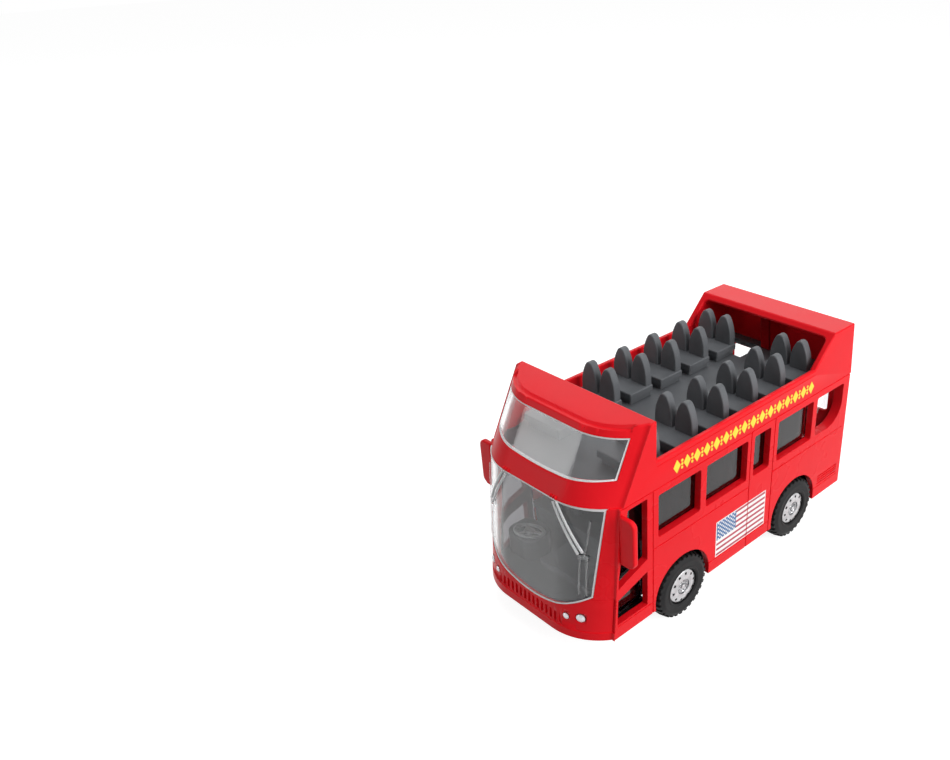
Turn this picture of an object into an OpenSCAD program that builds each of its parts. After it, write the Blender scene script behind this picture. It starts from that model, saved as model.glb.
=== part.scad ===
// Toy open-top double-decker bus: a moulded two-part red shell on a black base, grey
// seat trays for both decks, clear glazing and two free-rolling axles.
// +X points forward, +Y to the bus's left, +Z up. The origin is on the ground, below the
// middle of the outline box. Lengths "behind the front" are taken from the bumper's lip.

/* [Body] */
// Length from the bumper's lip to the rear overhang
length = 125.5; // [118:0.5:150]
// Width over the sides
body_w = 55.8; // [54:0.2:62]
// Height of the body's lower edge above the ground
body_bottom = 9; // [8:0.1:10]
// Height of the lower body, up to the seam
lower_h = 44; // [42:0.1:52]
// Height of the red band above the seam
band_h = 8.9; // [7:0.1:11]
// Wall of the lower body
wall = 2.2; // [2:0.1:2.6]
// Wall of the upper body
upper_wall = 1.7; // [1.4:0.1:1.9]
// Overhang of the upper body past the lower body's rear wall
rear_overhang = 0.6; // [0.3:0.1:1]

/* [Front] */
// Backward lean of the lower front, in degrees
front_lean = 4.8; // [2:0.1:6]
// Backward rake of the upper front, in degrees
upper_rake = 27.7; // [22:0.1:30]
// Sideways run of the round stretch on each side of the bowed front
bow_span = 16.5; // [15:0.1:18]
// Step from the bow's corner edge out to the side
corner_step = 0.9; // [0.6:0.1:1.3]
// Depth of the bow, from the middle to the corner edge
bow_drop = 8.5; // [7:0.1:10]
// How far the bumper's lip stands proud
lip_proud = 0.2; // [0.1:0.05:0.4]
// Height of the bumper's lip
lip_h = 2.6; // [2:0.1:3]
// Gap at panel joints and round the glazing
panel_gap = 0.12; // [0.08:0.01:0.2]

/* [Windscreens] */
// Height of the lower windscreen's lowest point above the body's lower edge
screen_rise = 7.3; // [7:0.1:9]
// Height of its lower corners above the body's lower edge
screen_corner_rise = 14.9; // [13.5:0.1:16]
// Distance of its lower corners in from the sides
screen_inset_low = 5; // [4.4:0.1:7]
// Distance of its upper corners in from the sides
screen_inset_top = 2.9; // [2.7:0.1:5]
// Height of the upper windscreen's lowest point above the seam
upper_screen_rise = 5.3; // [4.5:0.1:6]
// Height of the upper windscreen
upper_screen_h = 12.7; // [11:0.1:13]
// Distance of the upper windscreen in from the sides
upper_screen_inset = 3.2; // [2.9:0.1:6]
// Rise of its lower edge from the middle to the corners
upper_screen_bow = 1.8; // [1:0.1:2.5]
// Thickness of the clear windscreens
glass_t = 1.2; // [1:0.1:1.5]
// How far the moulded wipers stand proud of the glass
wiper_proud = 0.5; // [0.3:0.1:0.8]

/* [Side openings] */
// Height of the side windows
window_h = 14.6; // [12:0.1:16]
// Height of the header between the windows and the seam
window_head = 2.6; // [2.4:0.1:4]
// Corner radius of the windows
window_r = 0.8; // [0.5:0.1:1.2]
// Large rear lower corner of the last window
window_sweep = 8; // [5:0.1:9]
// Depth of the window jambs inside the wall
jamb_depth = 1.3; // [1:0.1:1.5]
// Width of the jamb's rim
jamb_rim = 0.9; // [0.6:0.1:1]
// Thickness of the side glazing
pane_t = 0.8; // [0.6:0.1:1]
// Height of the rear window
rear_window_h = 14; // [11:0.1:15]
// Distance of the rear window in from the sides
rear_window_inset = 6.9; // [6:0.1:10]

/* [Canopy and visor] */
// Height of the canopy's roof above the seam
canopy_h = 18.7; // [17:0.1:20]
// Length of the canopy's roof
canopy_roof = 12.9; // [11:0.1:15]
// Length of the canopy at the sill
canopy_foot = 22.9; // [20:0.1:26]
// Forward lean of the canopy's rear wall
canopy_lean = 1.4; // [0.5:0.1:2]
// Width of the frame round the canopy's mouth
canopy_flange = 2.2; // [1.6:0.1:3]
// Width of the fin on the canopy's rear wall
rib_w = 4; // [2:0.1:4.4]
// Depth of the fin
rib_depth = 6.3; // [2:0.1:7]
// Height of the visor's top above the seam
visor_h = 21.5; // [20.5:0.1:23]
// Thickness of the visor's roof
visor_t = 1.9; // [1.5:0.1:2.2]
// Distance of the front posts' rear edge behind the front
post_back = 26.9; // [25:0.1:28]

/* [Wheels] */
// Diameter over the tyre's lugs
tyre_d = 22.3; // [21:0.1:22.8]
// Width of a tyre
tyre_w = 8; // [6:0.1:8.6]
// Diameter of a hub
hub_d = 12; // [10:0.1:13]
// How far the tyres stand out past the sides
tyre_proud = 0.6; // [0:0.1:1]
// Diameter of the axles
axle_d = 2.5; // [2:0.1:3]
// Radial clearance of the axles in their bearings
axle_play = 0.06; // [0.02:0.01:0.1]
// Distance of the front axle behind the front
front_overhang = 38.8; // [38.4:0.1:39.4]
// Distance of the rear axle ahead of the rear end
rear_axle_ahead = 29.3; // [28.8:0.1:29.8]
// Gap between the tyre and its arch
arch_gap = 1.2; // [0.9:0.1:1.5]
// Lugs round each tyre
lug_count = 22; // [16:1:24]

/* [Seats] */
// Distance of the first upper seat row behind the front
first_row = 32.5; // [31:0.1:34]
// Distance of the last upper seat row ahead of the rear end
last_row = 21.25; // [20.5:0.05:24]
// Seat rows on the upper deck
row_count = 6; // [4:1:6]
// Distance of the outer seats' middle in from the sides
seat_inset = 8; // [7.2:0.1:9]
// Distance between the two seats of a bench
seat_pair = 8; // [7.6:0.1:9]
// Width of a seat back
seat_w = 6.9; // [6:0.1:7.4]
// Thickness of a seat back
seat_t = 2.8; // [2:0.1:3.2]
// Height of a seat back above its cushion
seat_back_h = 10; // [8:0.1:11]
// Depth of a cushion in front of the back
cushion_d = 7.6; // [6:0.1:8]
// Height of a cushion's top above the deck
cushion_h = 4.2; // [3:0.1:5]
// Thickness of the upper deck
deck_t = 2; // [1.6:0.1:2.4]

/* [Hidden] */
fine = 96;
round_fn = 48;
eps = 0.01;
over = 2;
front_x = length / 2;
rear_x = -length / 2;
side_y = body_w / 2;
seam_z = body_bottom + lower_h;
sill_z = seam_z + band_h;
nose_x = front_x - lip_proud;
upper_nose_x = nose_x - lower_h * tan(front_lean);
lower_rear_x = rear_x + rear_overhang;
axle_z = tyre_d / 2;
front_axle_x = front_x - front_overhang;
rear_axle_x = rear_x + rear_axle_ahead;
arch_r = tyre_d / 2 + arch_gap;
post_x = front_x - post_back;
tyre_out = side_y + tyre_proud;
tyre_in = tyre_out - tyre_w;
bow_reach = side_y - corner_step;
bow_flat = bow_reach - bow_span;
bow_r = (bow_span * bow_span + bow_drop * bow_drop) / (2 * bow_drop);
window_top = seam_z - window_head;
window_low = window_top - window_h;
seat_outer = side_y - seat_inset;

cab_length = 27;
saloon_length = length - cab_length;

// Side windows, front to rear: front edge and rear edge, as shares of the saloon's length
WINDOW_FRONT = 0;
WINDOW_REAR = 1;
windows = [[0.006, 0.193], [0.22, 0.419], [0.454, 0.538], [0.58, 0.776], [0.801, 0.958]];
last_window = len(windows) - 1;

// X of a place at a distance behind the front, in the cab
function behind(distance) = front_x - distance;

// X of a place at a share of the saloon's length, behind the cab
function along(share) = front_x - cab_length - share * saloon_length;

// Z of a place at a share of the lower body's height
function up(share) = body_bottom + share * lower_h;

// Drop of the bow behind its middle at a half-width y
function bow_back(y) = y <= bow_flat ? 0 : bow_r - sqrt(bow_r * bow_r - pow(y - bow_flat, 2));

// Rectangle with round corners, from its low corner
module round_rect(w, h, r) {
    translate([r, 0]) square([w - 2 * r, h]);
    translate([0, r]) square([w, h - 2 * r]);
    for (x = [r, w - r], y = [r, h - r]) translate([x, y]) circle(r, $fn = round_fn);
}

// Plan of the body with its bowed front at x = 0, drawn in from all sides by an inset
module bow_plan(inset) {
    half = side_y - inset;
    back = 3 * length;
    intersection() {
        union() {
            for (s = [-1, 1]) translate([-bow_r, s * bow_flat]) circle(bow_r - inset, $fn = fine);
            translate([-bow_r, -bow_flat]) square([bow_r - inset, 2 * bow_flat]);
            translate([-back, -half]) square([back - bow_drop - inset, 2 * half]);
        }
        translate([-back, -half]) square([back + over, 2 * half]);
    }
}

// The plan swept up along a leaning front from a foot point
module leaning(angle, foot_x, foot_z) {
    translate([foot_x, 0, foot_z]) rotate([0, -angle, 0]) children();
}

module bow_sweep(angle, foot_x, foot_z, inset) {
    leaning(angle, foot_x, foot_z)
        translate([0, 0, -length]) linear_extrude(3 * length) bow_plan(inset);
}

// Block of the lower body between two heights, ahead of a rear plane
module lower_block(inset, z0, z1, back_x) {
    intersection() {
        bow_sweep(front_lean, nose_x, body_bottom, inset);
        translate([back_x, -body_w, z0]) cube([2 * length, 2 * body_w, z1 - z0]);
    }
}

// Upper sweep, whose front leans further back
module upper_sweep(inset) {
    bow_sweep(upper_rake, upper_nose_x, seam_z, inset);
}

// Outline in front view, run along X
module face_on(from_x, to_x) {
    translate([from_x, 0, 0]) rotate([90, 0, 90]) linear_extrude(to_x - from_x) children();
}

// Outline in side view (x forward, y up), run along Y
module side_on(from_y, to_y) {
    translate([0, to_y, 0]) rotate([90, 0, 0]) linear_extrude(to_y - from_y) children();
}

// The same cut on both sides, between two half-widths
module both_sides(from_y, to_y) {
    side_on(from_y, to_y) children();
    side_on(-to_y, -from_y) children();
}

// Lower windscreen in front view, drawn in by a gap
screen_half_low = side_y - screen_inset_low;
screen_half_top = side_y - screen_inset_top;
screen_low_z = body_bottom + screen_rise;
screen_corner_z = body_bottom + screen_corner_rise;
screen_dip = screen_corner_z - screen_low_z;
screen_arc = (screen_half_low * screen_half_low + screen_dip * screen_dip) / (2 * screen_dip);
screen_splay = (screen_half_top - screen_half_low) / (seam_z - screen_corner_z);
module lower_screen_outline(gap, top_z) {
    low = body_bottom;
    low_half = screen_half_low - screen_splay * (screen_corner_z - low) - gap;
    top_half = screen_half_low + screen_splay * (top_z - screen_corner_z) - gap;
    intersection() {
        translate([0, screen_low_z + screen_arc]) circle(screen_arc - gap, $fn = fine);
        polygon([[-low_half, low], [low_half, low], [top_half, top_z], [-top_half, top_z]]);
    }
}

// Upper windscreen in front view, drawn in by a gap
upper_screen_half = side_y - upper_screen_inset;
upper_low_z = seam_z + upper_screen_rise;
upper_arc = (pow(upper_screen_half, 2) + pow(upper_screen_bow, 2)) / (2 * upper_screen_bow);
module upper_screen_outline(gap) {
    top_z = upper_low_z + upper_screen_h - gap;
    half = upper_screen_half - gap;
    intersection() {
        translate([0, upper_low_z + upper_arc]) circle(upper_arc - gap, $fn = fine);
        translate([-half, upper_low_z]) square([2 * half, top_z - upper_low_z]);
    }
}

// The room ahead of the corner edges, up to just below the windscreen's corners, for the bumper
bumper_tuck = 0.7;
module bumper_zone(gap) {
    top_z = screen_corner_z - bumper_tuck + gap;
    intersection() {
        leaning(front_lean, nose_x, body_bottom)
            translate([-bow_drop - gap, -body_w, -length]) cube([length, 2 * body_w, 2 * length]);
        translate([0, -body_w, -length]) cube([length, 2 * body_w, length + top_z]);
    }
}

// The windscreen's opening through the front wall
module lower_screen_cut() {
    face_on(nose_x - bow_r, front_x + over) lower_screen_outline(0, seam_z + over);
}

// One side window in side view, let out by a rim
module window_outline(i, rim) {
    rear_edge = along(windows[i][WINDOW_REAR]);
    w = along(windows[i][WINDOW_FRONT]) - rear_edge + 2 * rim;
    h = window_h + 2 * rim;
    sweep = window_sweep + rim;
    translate([rear_edge - rim, window_low - rim]) difference() {
        round_rect(w, h, window_r + rim);
        if (i == last_window) difference() {
            translate([-over, -over]) square(sweep + over);
            translate([sweep, sweep]) circle(sweep, $fn = fine);
        }
    }
}

// Front doorway in side view: two panes parted by a slanting bar
door_front = 10.2;
door_rear = 22.9;
door_low = up(0.109);
door_top = seam_z - 1.5;
door_knee = up(0.468);
door_knee_back = 1;
door_top_back = 5;
bar_back = [0.6, 0.8];
bar_low = [up(0.311), up(0.391)];
bar_high = [up(0.394), up(0.493)];
module door_outline() {
    knee_x = behind(door_front + door_knee_back);
    polygon([
        [behind(door_rear), door_low], [behind(door_front), door_low],
        [behind(door_front + bar_back[0]), bar_low[0]], [behind(door_rear), bar_low[1]]
    ]);
    polygon([
        [behind(door_rear), bar_high[1]], [behind(door_front + bar_back[1]), bar_high[0]],
        [knee_x, door_knee], [behind(door_front + door_top_back), door_top],
        [behind(door_rear), door_top]
    ]);
}

// Panel lines on the sides
line_w = 0.35;
line_depth = 0.25;
cab_line_x = behind(25.1);
cab_corner_x = behind(10.5);
door_line_x = [along(0.4345), along(0.5584)];
line_end_x = rear_x + 2.5;
front_arch_x = front_axle_x - arch_r;
rear_arch_x = rear_axle_x - arch_r;
waist_z = window_low - 3.3;
skirt_z = up(0.091);
line_foot = body_bottom - over;

// Each line: front end, rear end, lower edge, upper edge
LINE_FRONT = 0;
LINE_REAR = 1;
LINE_LOW = 2;
LINE_HIGH = 3;
side_lines = [
    [cab_line_x, cab_line_x - line_w, line_foot, seam_z],
    [door_line_x[0], door_line_x[0] - line_w, line_foot, seam_z],
    [door_line_x[1], door_line_x[1] - line_w, line_foot, seam_z],
    [cab_line_x, door_line_x[0], waist_z, waist_z + line_w],
    [door_line_x[1], line_end_x, waist_z, waist_z + line_w],
    [cab_corner_x, cab_line_x, skirt_z, skirt_z + line_w],
    [front_arch_x, door_line_x[1], skirt_z, skirt_z + line_w],
    [rear_arch_x, line_end_x, skirt_z, skirt_z + line_w],
    [front_x, rear_x, seam_z - line_w, seam_z + over]
];
module side_line_cuts() {
    for (line = side_lines) both_sides(side_y - line_depth, side_y + over)
        translate([line[LINE_REAR], line[LINE_LOW]])
            square([line[LINE_FRONT] - line[LINE_REAR], line[LINE_HIGH] - line[LINE_LOW]]);
}

// Louvred vent behind the rear wheels
vent_x = [rear_x + 3.1, rear_x + 15.1];
vent_low = up(0.114);
vent_h = 4;
vent_slats = 4;
vent_open = 0.6;
module side_vent_cuts() {
    pitch = vent_h / vent_slats;
    for (i = [0:vent_slats - 1]) both_sides(side_y - 2 * line_depth, side_y + over)
        translate([vent_x[0], vent_low + i * pitch])
            square([vent_x[1] - vent_x[0], pitch * vent_open]);
}

// Rear grille of level louvres, below the rear window
rear_grille_w = body_w - 25.8;
rear_grille_low = up(0.182);
rear_louvre_pitch = 2;
rear_louvres = 5;
module rear_grille_cuts() {
    for (i = [0:rear_louvres - 1])
        translate([lower_rear_x - over, -rear_grille_w / 2, rear_grille_low + i * rear_louvre_pitch])
            cube([over + 2 * line_depth, rear_grille_w, rear_louvre_pitch / 2]);
}

rear_window_low = window_top - rear_window_h;
module rear_window_outline(gap) {
    w = body_w - 2 * rear_window_inset - 2 * gap;
    translate([-w / 2, rear_window_low + gap])
        round_rect(w, rear_window_h - 2 * gap, 2 * window_r);
}

module lower_body() {
    color("crimson") difference() {
        union() {
            difference() {
                lower_block(0, body_bottom, seam_z, lower_rear_x);
                lower_block(wall, body_bottom - over, seam_z + over, lower_rear_x + wall);
            }
            for (i = [0:last_window])
                both_sides(side_y - wall - jamb_depth, side_y - wall + eps) window_outline(i, jamb_rim);
        }
        for (i = [0:last_window])
            both_sides(side_y - wall - jamb_depth - over, side_y + over) window_outline(i, 0);
        both_sides(side_y - wall - over, side_y + over) door_outline();
        for (x = [front_axle_x, rear_axle_x])
            translate([x, body_w, axle_z]) rotate([90, 0, 0])
                cylinder(2 * body_w, arch_r, arch_r, $fn = fine);
        bumper_zone(panel_gap);
        lower_screen_cut();
        face_on(lower_rear_x - over, lower_rear_x + wall + over) rear_window_outline(0);
        side_line_cuts();
        side_vent_cuts();
        rear_grille_cuts();
    }
}

// Headlamps: distance in from the side, height above the body's lower edge, diameter
LAMP_IN = 0;
LAMP_RISE = 1;
LAMP_D = 2;
lamps = [[12.3, 6.7, 2.2], [7.9, 7.3, 2.9]];
function lamp_y(lamp) = side_y - lamp[LAMP_IN];
lamp_depth = 1.4;
lamp_proud = 0.35;
lamp_gap = 0.1;
module lamp_rods(reach, gap) {
    for (lamp = lamps, s = [-1, 1])
        translate([
            nose_x - lamp[LAMP_RISE] * tan(front_lean) - bow_back(lamp_y(lamp)) - lamp_depth,
            s * lamp_y(lamp),
            body_bottom + lamp[LAMP_RISE]
        ])
            rotate([0, 90, 0]) cylinder(lamp_depth + reach, d = lamp[LAMP_D] + 2 * gap, $fn = round_fn);
}

// Grille slots in the bumper, as many as fit between the lamps
slot_pitch = 1.95;
slot_w = 1.05;
slot_depth = 0.9;
slot_rise = 3.2;
slot_h = 3.4;
slot_pairs = floor((lamp_y(lamps[0]) - lamps[0][LAMP_D] / 2 - slot_w / 2) / slot_pitch);
module grille_slots() {
    for (i = [-slot_pairs:slot_pairs])
        translate([nose_x - slot_depth, i * slot_pitch - slot_w / 2, body_bottom + slot_rise])
            cube([slot_depth + over, slot_w, slot_h]);
}

module front_bumper() {
    lip_top = body_bottom + lip_h;
    color("crimson") difference() {
        intersection() {
            union() {
                lower_block(-lip_proud, body_bottom, lip_top, 0);
                lower_block(0, lip_top - eps, seam_z, 0);
            }
            bumper_zone(0);
        }
        lower_block(wall, body_bottom - over, seam_z + over, -over);
        lower_screen_cut();
        grille_slots();
        lamp_rods(wall + over, lamp_gap);
    }
}

module headlamps() {
    color("white") lamp_rods(lamp_proud, 0);
}

// Moulded wiper on one side of the lower windscreen, in front view
wiper_blade_top = [screen_half_low - 11.9, seam_z - 0.6];
wiper_blade_foot = [screen_half_low - 3.3, seam_z - 14.6];
wiper_blade_w = 2.2;
wiper_rod_y = [screen_half_low - 3.5, screen_half_low - 1.7];
wiper_rod_w = 0.5;
wiper_rod_low = screen_corner_z + 0.8;
wiper_arm_top = [screen_half_low - 1.2, seam_z - 3.6];
wiper_arm_in = 0.6;
wiper_joint_h = 1.4;
wiper_joint_drop = 1;
wiper_joint_out = 0.5;
module stroke(from, to, w) {
    run = to - from;
    translate(from) rotate(atan2(run[1], run[0])) translate([0, -w / 2]) square([norm(run), w]);
}

module wiper_outline() {
    joint_z = wiper_blade_foot[1] - wiper_joint_drop;
    joint_in = wiper_rod_y[0] - wiper_joint_out;
    joint_out = wiper_rod_y[1] + wiper_joint_out;
    for (offset = [-1, 1])
        translate([offset * wiper_blade_w / 3, offset * wiper_blade_w / 6])
            stroke(wiper_blade_foot, wiper_blade_top, wiper_blade_w / 3);
    for (y = wiper_rod_y) stroke([y, wiper_rod_low], [y, joint_z], wiper_rod_w);
    stroke([joint_in, joint_z], [joint_out, joint_z], wiper_joint_h);
    stroke([wiper_rod_y[1] - wiper_arm_in, joint_z], wiper_arm_top, wiper_rod_w);
}

module lower_windscreen() {
    color([0.86, 0.9, 0.94, 0.4]) {
        intersection() {
            difference() {
                lower_block(panel_gap, body_bottom, seam_z - panel_gap, 0);
                lower_block(panel_gap + glass_t, body_bottom - over, seam_z, -over);
            }
            face_on(nose_x - bow_r, front_x + over) lower_screen_outline(panel_gap, seam_z);
        }
        intersection() {
            difference() {
                lower_block(panel_gap - wiper_proud, body_bottom, seam_z - panel_gap, 0);
                lower_block(panel_gap + glass_t / 2, body_bottom - over, seam_z, -over);
            }
            face_on(nose_x - bow_r, front_x + over) {
                wiper_outline();
                mirror([1, 0]) wiper_outline();
            }
        }
    }
}

// Upper body in side view: band, front posts and visor, and the canopy at the rear
canopy_top = seam_z + canopy_h;
visor_top = seam_z + visor_h;
visor_fall = 5;
visor_setback = 1.4;
ledge_drop = 1.7;
ledge_half = side_y - 3.3;
slant_run = canopy_foot - canopy_roof;
slant_rise = canopy_top - sill_z;
slant_len = norm([slant_run, slant_rise]);
slant_angle = atan2(slant_rise, slant_run);
slant_back = upper_wall / sin(slant_angle);
mouth_r = 2;
rib_y = -3;
function slant_x(z) = rear_x + canopy_foot - (z - sill_z) * slant_run / slant_rise;
function visor_z(x) = visor_top - (x - post_x) * tan(visor_fall);

module upper_outline() {
    polygon([
        [rear_x, seam_z], [front_x + over, seam_z], [front_x + over, visor_z(front_x + over)],
        [post_x, visor_top], [post_x, sill_z], [slant_x(sill_z), sill_z],
        [slant_x(canopy_top), canopy_top], [rear_x + canopy_lean, canopy_top]
    ]);
}

module upper_hollow_outline() {
    ceiling = canopy_top - upper_wall;
    polygon([
        [rear_x + upper_wall, seam_z - over], [front_x + over, seam_z - over],
        [front_x + over, visor_z(front_x + over) - visor_t], [post_x - eps, visor_z(post_x) - visor_t],
        [post_x - eps, visor_top + over], [slant_x(sill_z), visor_top + over],
        [slant_x(sill_z), sill_z], [slant_x(sill_z) - slant_back, sill_z],
        [slant_x(ceiling) - slant_back, ceiling], [rear_x + canopy_lean + upper_wall, ceiling]
    ]);
}

module canopy_mouth() {
    half = side_y - canopy_flange;
    translate([slant_x(sill_z), 0, sill_z]) rotate([0, slant_angle, 0])
        translate([canopy_flange - slant_len, -half, -upper_wall - over])
            linear_extrude(upper_wall + 2 * over)
                round_rect(slant_len - canopy_flange + over, 2 * half, mouth_r);
}

module canopy_rib() {
    foot = seam_z + deck_t + panel_gap;
    root = upper_wall / 2;
    side_on(rib_y - rib_w / 2, rib_y + rib_w / 2) polygon([
        [rear_x + canopy_lean + root, canopy_top - root], [rear_x + root, foot],
        [rear_x + upper_wall + rib_depth, foot],
        [rear_x + canopy_lean + upper_wall + rib_depth, canopy_top - root]
    ]);
}

band_line_rise = 7;
module upper_body() {
    color("crimson") difference() {
        union() {
            difference() {
                intersection() {
                    upper_sweep(0);
                    side_on(-side_y, side_y) upper_outline();
                }
                intersection() {
                    upper_sweep(upper_wall);
                    side_on(upper_wall - side_y, side_y - upper_wall) upper_hollow_outline();
                }
                canopy_mouth();
            }
            canopy_rib();
        }
        face_on(upper_nose_x - 2 * bow_r, front_x + over) upper_screen_outline(0);
        difference() {
            translate([post_x, -ledge_half, visor_top - ledge_drop]) cube([length, 2 * ledge_half, length]);
            translate([-visor_setback, 0, 0]) upper_sweep(-eps);
        }
        both_sides(side_y - line_depth, side_y + over)
            translate([slant_x(sill_z), seam_z + band_line_rise])
                square([post_x - slant_x(sill_z), line_w]);
    }
}

module upper_windscreen() {
    color([0.86, 0.9, 0.94, 0.4]) intersection() {
        difference() {
            upper_sweep(panel_gap);
            upper_sweep(panel_gap + glass_t);
        }
        face_on(upper_nose_x - 2 * bow_r, front_x + over) upper_screen_outline(panel_gap);
    }
}

// Clear strip behind one side's windows, stepped down behind the front doorway
pane_y = side_y - wall - jamb_depth - panel_gap;
pane_margin = 1;
door_margin = 0.5;
module side_panes() {
    rear_pane = along(windows[last_window][WINDOW_REAR]) - pane_margin;
    door_pane = behind(door_rear) - pane_margin;
    polygon([
        [rear_pane, window_low - pane_margin], [door_pane, window_low - pane_margin],
        [door_pane, door_low - door_margin], [front_x, door_low - door_margin],
        [front_x, door_top + door_margin], [door_pane, door_top + door_margin],
        [door_pane, window_top + pane_margin], [rear_pane, window_top + pane_margin]
    ]);
}

module side_glazing(s) {
    color([0.86, 0.9, 0.94, 0.3]) intersection() {
        lower_block(wall + panel_gap, body_bottom, seam_z - panel_gap, lower_rear_x + wall);
        if (s > 0) side_on(pane_y - pane_t, pane_y) side_panes();
        if (s < 0) side_on(-pane_y, pane_t - pane_y) side_panes();
    }
}

module left_glazing() {
    side_glazing(1);
}

module right_glazing() {
    side_glazing(-1);
}

module rear_window() {
    color([0.86, 0.9, 0.94, 0.3])
        face_on(lower_rear_x + panel_gap, lower_rear_x + panel_gap + glass_t) rear_window_outline(panel_gap);
}

// Seat back in front view: straight foot, ogive flanks and a round tip
tip_r = 1.7;
seat_foot = 2;
module seat_back_outline(height) {
    half = seat_w / 2;
    tip_z = height - tip_r;
    rise = tip_z - seat_foot;
    flank_r = (rise * rise + half * half - tip_r * tip_r) / (2 * (half - tip_r));
    tangent_z = seat_foot + flank_r * rise / (flank_r - tip_r);
    translate([-half, -eps]) square([seat_w, seat_foot + 2 * eps]);
    translate([0, tip_z]) circle(tip_r, $fn = round_fn);
    intersection() {
        translate([half - flank_r, seat_foot]) circle(flank_r, $fn = fine);
        translate([flank_r - half, seat_foot]) circle(flank_r, $fn = fine);
        translate([-half, seat_foot]) square([seat_w, tangent_z - seat_foot]);
    }
}

// Bench for two with its two backs, on one side of a deck, with its backs' front at x and its
// outer seat's middle at a half-width
plinth_inset = 1;
bench_margin = 0.5;
module bench(x, s, outer_y, deck_z, cushion_rise, back_h) {
    middle = outer_y - seat_pair / 2;
    bench_w = seat_pair + seat_w + 2 * bench_margin;
    slab_t = cushion_rise / 2;
    low_y = s * middle - bench_w / 2;
    bench_d = cushion_d + seat_t;
    translate([x - seat_t, low_y, deck_z + cushion_rise - slab_t]) cube([bench_d, bench_w, slab_t]);
    translate([x - seat_t, low_y + plinth_inset, deck_z - eps])
        cube([bench_d - plinth_inset, bench_w - 2 * plinth_inset, cushion_rise - slab_t + 2 * eps]);
    for (y = [outer_y - seat_pair, outer_y]) translate([0, s * y, deck_z + cushion_rise])
        face_on(x - seat_t, x) seat_back_outline(back_h);
}

// Upper deck with its seats and the stairwell behind the last row on the right
deck_top = seam_z + deck_t;
deck_half = side_y - upper_wall - panel_gap;
row_pitch = (length - first_row - last_row) / (row_count - 1);
stair_x = [rear_x + 7.1, rear_x + 19.1];
stair_y = [8.6 - deck_half, -5.5];
module upper_deck() {
    color("dimgray") {
        difference() {
            intersection() {
                upper_sweep(upper_wall + panel_gap);
                translate([rear_x + upper_wall + canopy_lean + panel_gap, -deck_half, seam_z])
                    cube([length, 2 * deck_half, deck_t]);
            }
            translate([stair_x[0], stair_y[0], seam_z - over])
                cube([stair_x[1] - stair_x[0], stair_y[1] - stair_y[0], deck_t + 2 * over]);
        }
        for (i = [0:row_count - 1], s = [-1, 1])
            bench(behind(first_row + i * row_pitch), s, seat_outer, deck_top, cushion_h, seat_back_h);
    }
}

// Lower deck: a low cab floor, a riser ahead of the front wheels and a raised saloon floor
tray_t = 1.5;
tyre_headroom = 1.2;
saloon_z = tyre_d + tyre_headroom + tray_t;
cab_z = body_bottom + 6;
riser_gap = 1.55;
riser_from = front_overhang - tyre_d / 2 - riser_gap - tray_t;
cab_half = pane_y - pane_t - panel_gap;
platform_h = 3;
platform_front = 12.6;
console_gap = 0.3;
console_w = 12.5;
console_y = [console_gap - cab_half, console_gap + console_w - cab_half];
platform_y = [console_y[1] + 2.5, cab_half - 9.3];
saloon_cushion_h = 8;
saloon_back_h = 12;
rear_bench_d = 12;
rear_bench_h = 9;
rear_bench_in = 11.9;
// Rows of the lower deck, as shares of the saloon's length, clear of the middle door
saloon_rows = [0.091, 0.238, 0.383, 0.674];
saloon_outer = cab_half - seat_w / 2 - bench_margin;
module lower_deck() {
    saloon_rear = lower_rear_x + wall + panel_gap;
    saloon_half = side_y - wall - panel_gap;
    color("dimgray") {
        translate([saloon_rear, -saloon_half, saloon_z - tray_t])
            cube([behind(riser_from) - saloon_rear, 2 * saloon_half, tray_t]);
        translate([behind(riser_from + tray_t), -cab_half, cab_z - tray_t])
            cube([tray_t, 2 * cab_half, saloon_z - cab_z + tray_t]);
        intersection() {
            lower_block(wall + panel_gap, cab_z - tray_t, cab_z, behind(riser_from) - eps);
            translate([0, -cab_half, 0]) cube([length, 2 * cab_half, length]);
        }
        translate([behind(riser_from) - eps, platform_y[0], cab_z - eps])
            cube([riser_from - platform_front, platform_y[1] - platform_y[0], platform_h]);
        for (share = saloon_rows, s = [-1, 1])
            bench(along(share), s, saloon_outer, saloon_z, saloon_cushion_h, saloon_back_h);
        translate([saloon_rear, rear_bench_in - cab_half, saloon_z - eps])
            cube([rear_bench_d, 2 * (cab_half - rear_bench_in), rear_bench_h]);
    }
}

// Driver's console on the right with the steering wheel on its top
console_from = 11;
console_l = 10.5;
console_h = 7.6;
console_r = 4;
module dashboard() {
    color("dimgray") translate([behind(console_from + console_l), console_y[0], cab_z])
        linear_extrude(console_h) round_rect(console_l, console_y[1] - console_y[0], console_r);
}

steer_from = 14;
steer_y = 9.4 - cab_half;
steer_d = 9.8;
steer_rim = 1;
steer_tilt = 15;
steer_rise = 2;
column_d = 2;
boss_d = 3.2;
spoke_count = 3;
module steering_wheel() {
    color("dimgray") translate([behind(steer_from), steer_y, cab_z + console_h]) {
        cylinder(steer_rise, d = column_d, $fn = round_fn);
        translate([0, 0, steer_rise]) rotate([0, -steer_tilt, 0]) {
            rotate_extrude($fn = fine)
                translate([(steer_d - steer_rim) / 2, 0]) circle(d = steer_rim, $fn = round_fn);
            translate([0, 0, -steer_rim / 2]) cylinder(steer_rim, d = boss_d, $fn = round_fn);
            for (i = [0:spoke_count - 1]) rotate(i * 360 / spoke_count)
                translate([0, -steer_rim / 2, -steer_rim / 4])
                    cube([(steer_d - steer_rim) / 2, steer_rim, steer_rim / 2]);
        }
    }
}

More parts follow.
